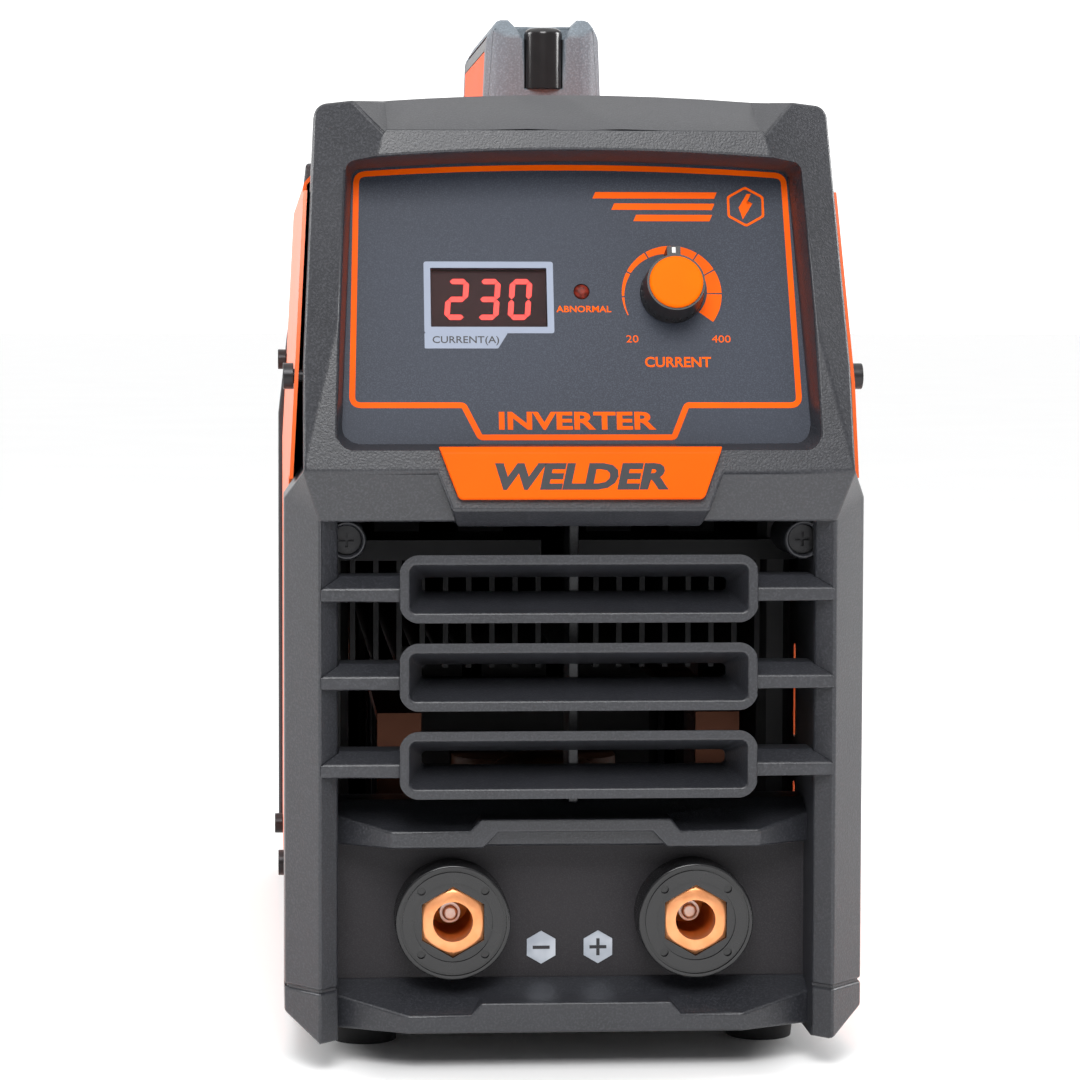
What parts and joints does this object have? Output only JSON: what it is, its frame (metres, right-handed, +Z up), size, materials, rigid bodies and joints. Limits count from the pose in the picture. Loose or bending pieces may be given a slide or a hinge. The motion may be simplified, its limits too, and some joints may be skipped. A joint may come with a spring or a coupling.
{
  "type": "stick welding inverter",
  "caption": "Upright suitcase-sized stick welding inverter with a leaning control panel, louvred vent, twist-lock output sockets and a top carrying handle.",
  "frame": {"origin": "middle of the footprint, on the surface that the rubber feet stand on", "axes": "+Z up, the control panel and sockets face -Y, +X is to the right seen from the front"},
  "size_m": [0.1914, 0.424, 0.3495],
  "materials": {
    "base_steel": "powder coated",
    "black_gloss": "gloss",
    "black_plastic": "satin",
    "black_screw": "black oxide",
    "board_green": "solder mask",
    "brass": "machined",
    "cap_sleeve": "sleeve",
    "charcoal_plastic": "fine grained",
    "copper": "bare copper",
    "display": "gloss",
    "ferrite": "ground",
    "foot_rubber": "matt",
    "guard_wire": "plated wire",
    "handle_plastic": "textured",
    "heatsink": "extruded",
    "label_silver": "satin",
    "module_black": "moulded",
    "orange_badge": "satin",
    "orange_paint": "powder coated",
    "orange_plastic": "satin",
    "panel_coat": "fine grained, printed",
    "pin_steel": "turned",
    "red_lens": "gloss",
    "smoked_window": "gloss",
    "winding": "taped",
    "zinc_screw": "zinc plated"
  },
  "bodies": {
    "root": {"badge_plate": "orange_badge", "base_plate": "base_steel", "bezel_screws": "black_screw", "board_spacers": "zinc_screw", "cable_gland": "black_plastic", "chassis_posts": "zinc_screw", "choke_saddle": "black_plastic", "control_board": "board_green", "control_panel": "panel_coat", "copper_bars": "copper", "cover_screws": "black_screw", "display_module": "display", "display_window": "smoked_window", "earth_stud": "brass", "fan_frame": "black_plastic", "fan_guard": "guard_wire", "fan_screws": "zinc_screw", "fault_lamp": "red_lens", "foot_screws": "zinc_screw", "front_bezel": "charcoal_plastic", "gland_nut": "black_plastic", "handle_bolts": "zinc_screw", "handle_bridge": "handle_plastic", "handle_front_insert": "black_gloss", "handle_side_caps": "charcoal_plastic", "handle_side_inserts": "orange_plastic", "input_rectifier": "module_black", "louvre_grille": "charcoal_plastic", "main_board": "board_green", "negative_socket_bolt": "zinc_screw", "negative_socket_housing": "black_gloss", "negative_socket_insert": "brass", "negative_socket_pin": "pin_steel", "outer_cover": "orange_paint", "output_choke": "winding", "output_heatsink": "heatsink", "output_rectifiers": "module_black", "polarity_labels": "label_silver", "positive_socket_bolt": "zinc_screw", "positive_socket_housing": "black_gloss", "positive_socket_insert": "brass", "positive_socket_pin": "pin_steel", "potentiometer": "zinc_screw", "power_heatsinks": "heatsink", "power_switch_body": "black_plastic", "rear_bezel": "charcoal_plastic", "rubber_feet": "foot_rubber", "smoothing_capacitors": "cap_sleeve", "socket_panel": "charcoal_plastic", "supply_transformer": "ferrite", "transformer_core": "ferrite", "transformer_winding": "winding", "transistor_modules": "module_black"},
    "current_knob": {"knob_skirt": "black_gloss", "knob_cap": "orange_plastic", "knob_shaft": "pin_steel"},
    "fan_wheel": {"fan_rotor": "black_plastic"},
    "switch_rocker": {"power_switch_rocker": "black_gloss"}
  },
  "joints": [
    {"name": "knob_turn", "type": "hinge", "parent": "root", "child": "current_knob", "pos_m": [0.032, -0.18058, 0.2506], "axis": [0, -0.9537, 0.3007], "range_deg": [-150, 150]},
    {"name": "fan_spin", "type": "hinge", "parent": "root", "child": "fan_wheel", "pos_m": [0, 0.1785, 0.1], "axis": [0, 1, 0], "continuous": true},
    {"name": "switch_tilt", "type": "hinge", "parent": "root", "child": "switch_rocker", "pos_m": [-0.048, 0.1945, 0.232], "axis": [1, 0, 0], "range_deg": [0, 16]}
  ]
}
